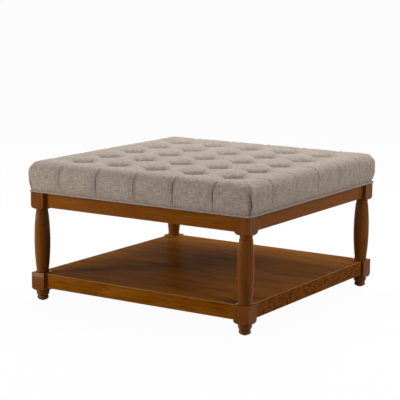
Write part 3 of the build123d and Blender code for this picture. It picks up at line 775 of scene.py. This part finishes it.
def pressFolds(piece):
    # creases, pleats, corner darts and puckers, by each point's place on the flat cloth
    mesh = piece.data
    lattice = np.empty(len(mesh.vertices) * 3)
    mesh.attributes["lattice"].data.foreach_get("vector", lattice)
    x, y, w = lattice.reshape(-1, 3).T
    cover = w < offCover / 2
    normals = np.empty(len(mesh.vertices) * 3)
    mesh.vertices.foreach_get("normal", normals)
    normals = normals.reshape(-1, 3)
    last, half = cushion["tufts"][-1], cushion["half"]
    awayX, awayY = x - nearestTuft(x), y - nearestTuft(y)
    fromTuft = np.hypot(awayX, awayY)
    fade = folds["edgeFade"]
    onTop = 1 - smooth((np.maximum(np.abs(x), np.abs(y)) - last) / fade)

    # the crease is deepest near the tufts and nearly closed half way between them
    shut = folds["creaseShut"]
    nearness = shut + (1 - shut) * np.exp(-(fromTuft / folds["creaseReach"]) ** 2)
    crease = np.exp(-(awayX / folds["creaseWidth"]) ** 2) + np.exp(-(awayY / folds["creaseWidth"]) ** 2)
    out = -folds["crease"] * np.minimum(crease, 1) * nearness * onTop

    # knife pleats: the cloth dips under from the left and the fold's lip stands up on the right
    begin = last + folds["pleatStart"]
    frontBack = smooth((np.abs(y) - begin) / fade) * (np.abs(y) > np.abs(x))
    leftRight = smooth((np.abs(x) - begin) / fade) * (np.abs(x) > np.abs(y))
    down, over = folds["pleatFade"]
    footward = 1 - 0.5 * smooth((w - down) / over)
    shape = folds["pleatShape"]
    out += folds["pleat"] * footward * (
        frontBack * ridges(awayX, shape) + folds["sideShare"] * leftRight * ridges(awayY, shape))

    # corner darts: one curved fold down each upright edge
    along = np.where(np.abs(x) >= half - 0.01, half - np.abs(y), -(half - np.abs(x)))
    along = np.where(x * y < 0, along, -along)
    depth = (w - folds["dartStart"]) / (cushion["crest"] - cushion["seam"] - folds["dartStart"])
    centre = folds["dartPlace"] + folds["dartSway"] * np.sin(np.clip(depth, 0, 1) * folds["dartTurn"])
    opened = smooth(depth * 5)
    out += folds["dart"] * opened * (w > 0) * ridges(along - centre, folds["dartShape"])

    # puckers run out of the tufts, and the side panels hang in soft upright waves
    angle = np.arctan2(awayY, awayX)
    turn = folds["puckers"] * angle + 3.1 * nearestTuft(x) + 1.7 * nearestTuft(y)
    around = np.exp(-((fromTuft - folds["puckerPlace"]) / folds["puckerWidth"]) ** 2)
    out += folds["pucker"] * np.cos(turn) * around * onTop
    run = np.where(np.abs(y) > np.abs(x), x, y)
    wave = np.sin(run / 6.3 + 1.4 * np.sin(run / 29.0) + 0.02 * w) + 0.6 * np.sin(run / 15.1 + 0.8)
    out += folds["sag"] * wave * (0.3 * frontBack + leftRight) * smooth(w / 25.0) * footward
    out = np.where(cover, out, 0.0)
    places = vertexPlaces(mesh) + normals * (out * mm)[:, None]
    mesh.vertices.foreach_set("co", places.ravel())
    mesh.attributes.remove(mesh.attributes["lattice"])
    mesh.update()


def closeUnderside(piece):
    # the cover is open under the deck, where nothing shows; one flat face closes the form there
    shell = bmesh.new()
    shell.from_mesh(piece.data)
    rim = [edge for edge in shell.edges if edge.is_boundary]
    bmesh.ops.contextual_create(shell, geom=rim)
    shell.to_mesh(piece.data)
    shell.free()


def makeCushion():
    points, faces, uv, held, lattice = shapedCushion()
    piece = meshObject("tufted_cushion_cover", points, [tuple(int(i) for i in f) for f in faces], seatLinen)
    piece.data.uv_layers.new(name="cloth").data.foreach_set("uv", uv.ravel())
    piece.data.attributes.new("lattice", "FLOAT_VECTOR", "POINT").data.foreach_set("vector", lattice.ravel())
    points = fillCushion(piece, held, points)
    piece.data.vertices.foreach_set("co", points.ravel())
    piece.data.update()
    fullness = piece.modifiers.new("fullness", "SUBSURF")
    fullness.levels = fullness.render_levels = 1
    keepModifiers(piece)
    pressFolds(piece)
    closeUnderside(piece)
    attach(piece, "root")
    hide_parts("tufted_cushion")


print("cushion")
makeCushion()

# Piping: cloth cut on the bias and sewn round a cord. All in mm.
piping = {
    "radius": 2.75,
    "half": 429.25,
    "corner": 9.0,
    "height": 376.05,
    "sides": 14,
    "spacing": 6.0,          # of the mesh's rings along it
    "cornerSteps": 10,
    "swells": ((0.015, 23.0), (0.012, 7.1)),  # (share of the radius, mm for each radian)
}


def makePiping():
    half, corner, sides = piping["half"], piping["corner"], piping["sides"]
    path = []
    straight = np.arange(-(half - corner), half - corner, piping["spacing"])
    turn = np.linspace(0, math.pi / 2, piping["cornerSteps"])
    for c, s in ((1, 0), (0, 1), (-1, 0), (0, -1)):
        run = [(half, t) for t in straight] + [
            (half - corner + corner * math.cos(a), half - corner + corner * math.sin(a)) for a in turn]
        path += [(c * px - s * py, s * px + c * py) for px, py in run]
    path = np.array(path)
    ahead = np.roll(path, -1, 0) - np.roll(path, 1, 0)
    ahead /= np.linalg.norm(ahead, axis=1, keepdims=True)
    out = np.column_stack([ahead[:, 1], -ahead[:, 0]])
    step = np.linalg.norm(np.roll(path, -1, 0) - path, axis=1)
    along = np.concatenate([[0], np.cumsum(step)[:-1]])
    points, faces, uv = [], [], []
    for (px, py), (nx, ny), s in zip(path, out, along):
        r = piping["radius"] * (1 + sum(share * math.sin(s / length) for share, length in piping["swells"]))
        for i in range(sides):
            a = 2 * math.pi * i / sides
            points.append((px + nx * r * math.cos(a), py + ny * r * math.cos(a),
                           piping["height"] + r * math.sin(a)))
    rows = len(path)
    girth = 2 * math.pi * piping["radius"]
    for k in range(rows):
        m = (k + 1) % rows
        for i in range(sides):
            j = (i + 1) % sides
            faces.append((k * sides + i, m * sides + i, m * sides + j, k * sides + j))
            s0, s1 = along[k], along[k] + step[k]
            v0, v1 = i * girth / sides, (i + 1) * girth / sides
            uv += [(s0, v0), (s1, v0), (s1, v1), (s0, v1)]
    piece = meshObject("welt_piping", np.array(points) * mm, faces, pipingLinen)
    piece.data.uv_layers.new(name="cloth").data.foreach_set("uv", (np.array(uv) * mm).ravel())
    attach(piece, "root")
    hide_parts("welt_cord")


print("piping")
makePiping()

# Covered buttons, seated at the bottom of the tufts: (radius, height) up the side, in mm.
button = {
    "profile": ((0.0, 0.0), (7.6, 0.0), (8.7, 0.5), (9.0, 1.6), (8.7, 2.7), (7.6, 3.9), (5.8, 4.9),
                (3.6, 5.6), (1.6, 5.95)),
    "seat": 449.0,
    "gathers": 9,
    "sides": 27,
}


def makeButtons():
    sides = button["sides"]
    points, faces = [], []
    for tuftX in cushion["tufts"]:
        for tuftY in cushion["tufts"]:
            first = len(points)
            for r, z in button["profile"]:
                for i in range(sides):
                    a = 2 * math.pi * i / sides
                    gathered = r * (1 + 0.02 * math.cos(button["gathers"] * a) * (r > 7))
                    points.append((tuftX + gathered * math.cos(a), tuftY + gathered * math.sin(a),
                                   button["seat"] + z))
            for row in range(len(button["profile"]) - 1):
                for i in range(sides):
                    j = (i + 1) % sides
                    a, b = first + row * sides, first + (row + 1) * sides
                    faces.append((a + i, a + j, b + j, b + i))
            faces.append(tuple(first + (len(button["profile"]) - 1) * sides + i for i in range(sides)))
    piece = meshObject("covered_buttons", np.array(points) * mm, faces, buttonLinen, smoothAngle=60)
    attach(piece, "root")
    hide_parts("tuft_buttons")


print("buttons")
makeButtons()

# Plain studio: white floor that keeps the shadow, even sky, a big soft lamp overhead and two at the sides.
# Each lamp has its place, what it points at, width, height, power and colour.
# The camera and reflections see plain white; the light itself meets the real floor and the even sky.
studio = {
    "floorHalf": 60.0,
    "floorColour": "f2f2f1",
    "floorBounce": "b9b8b5",  # what light meets in place of the white
    "floorGlow": 0.965,      # share of plain white that the camera and reflections see
    "ambient": 0.22,
    "lamps": {
        "key": ((-2.3, -2.5, 1.05), (0, 0, 0.3), 0.9, 1.9, 70.0, (1.0, 0.93, 0.85)),
        "fill": ((2.8, 0.7, 1.8), (0, 0, 0.4), 0.8, 1.6, 36.0, (1.0, 0.93, 0.85)),
        "top": ((-0.5, 1.4, 3.0), (0, 0, 0.4), 2.2, 2.2, 92.0, (0.95, 0.99, 1.0)),
    },
}

# Camera, fitted to the photograph: a long lens from the front right, a little above the seat.
view = {
    "lens": 124.04,          # mm
    "sensor": 36.0,
    "place": (2.5081, -3.9550, 1.1303),
    "yaw": 32.64,            # degrees
    "pitch": -9.73,
    "roll": 0.49,
    "clipEnd": 200.0,
}


def whiteRays(tree):
    # 1 for the rays that meet plain white: the camera's, and those that gloss and glass send on
    rays = addNode(tree, "ShaderNodeLightPath")
    seen = rays.outputs["Is Camera Ray"]
    for kind in ("Is Glossy Ray", "Is Transmission Ray"):
        either = addNode(tree, "ShaderNodeMath", {0: seen, 1: rays.outputs[kind]}, operation="MAXIMUM")
        seen = either.outputs[0]
    return seen


def makeFloor():
    material, tree, principled = newMaterial("white studio floor", studio["floorColour"], 0.9)
    seen = whiteRays(tree)
    share = addNode(tree, "ShaderNodeMath", {0: seen, 1: studio["floorGlow"]}, operation="MULTIPLY")
    tone = addNode(tree, "ShaderNodeMix", {
        "Factor": seen, 6: linear(studio["floorBounce"]), 7: linear(studio["floorColour"])}, data_type="RGBA")
    tree.links.new(tone.outputs[2], principled.inputs["Base Color"])
    white = addNode(tree, "ShaderNodeEmission", {"Color": (1, 1, 1, 1), "Strength": 1.0})
    mixed = addNode(tree, "ShaderNodeMixShader", {
        0: share.outputs[0], 1: principled.outputs[0], 2: white.outputs[0]})
    tree.links.new(mixed.outputs[0], tree.nodes["Material Output"].inputs["Surface"])
    size = studio["floorHalf"]
    places = [(-size, -size, 0), (size, -size, 0), (size, size, 0), (-size, size, 0)]
    meshObject("floor", places, [(0, 1, 2, 3)], material)


def makeWorld():
    world = bpy.data.worlds.new("studio")
    bpy.context.scene.world = world
    world.use_nodes = True
    tree = world.node_tree
    strength = addNode(tree, "ShaderNodeMapRange", {
        "Value": whiteRays(tree), "To Min": studio["ambient"], "To Max": 1.0})
    background = tree.nodes["Background"]
    background.inputs["Color"].default_value = (1, 1, 1, 1)
    tree.links.new(strength.outputs[0], background.inputs["Strength"])


def addSoftbox(name, place, aim, width, height, power, colour):
    data = bpy.data.lights.new(name, "AREA")
    data.color = colour
    data.shape = "RECTANGLE"
    data.size, data.size_y, data.energy = width, height, power
    lamp = bpy.data.objects.new(name, data)
    lamp.location = place
    lamp.rotation_euler = (Vector(aim) - Vector(place)).to_track_quat("-Z", "Y").to_euler()
    bpy.context.scene.collection.objects.link(lamp)


def makeCamera():
    yaw, pitch, roll = [math.radians(view[turn]) for turn in ("yaw", "pitch", "roll")]
    ahead = Vector((-math.sin(yaw) * math.cos(pitch), math.cos(yaw) * math.cos(pitch), math.sin(pitch)))
    right = ahead.cross(Vector((0, 0, 1))).normalized()
    up = right.cross(ahead)
    right, up = right * math.cos(roll) + up * math.sin(roll), up * math.cos(roll) - right * math.sin(roll)
    data = bpy.data.cameras.new("camera")
    data.lens, data.sensor_width, data.clip_end = view["lens"], view["sensor"], view["clipEnd"]
    camera = bpy.data.objects.new("camera", data)
    camera.matrix_world = Matrix([*zip(right, up, -ahead, view["place"]), (0, 0, 0, 1)])
    bpy.context.scene.collection.objects.link(camera)
    bpy.context.scene.camera = camera


print("studio")
makeFloor()
makeWorld()
for lamp, settings in studio["lamps"].items():
    addSoftbox(lamp, *settings)
makeCamera()
bpy.context.scene.view_settings.view_transform = "Standard"
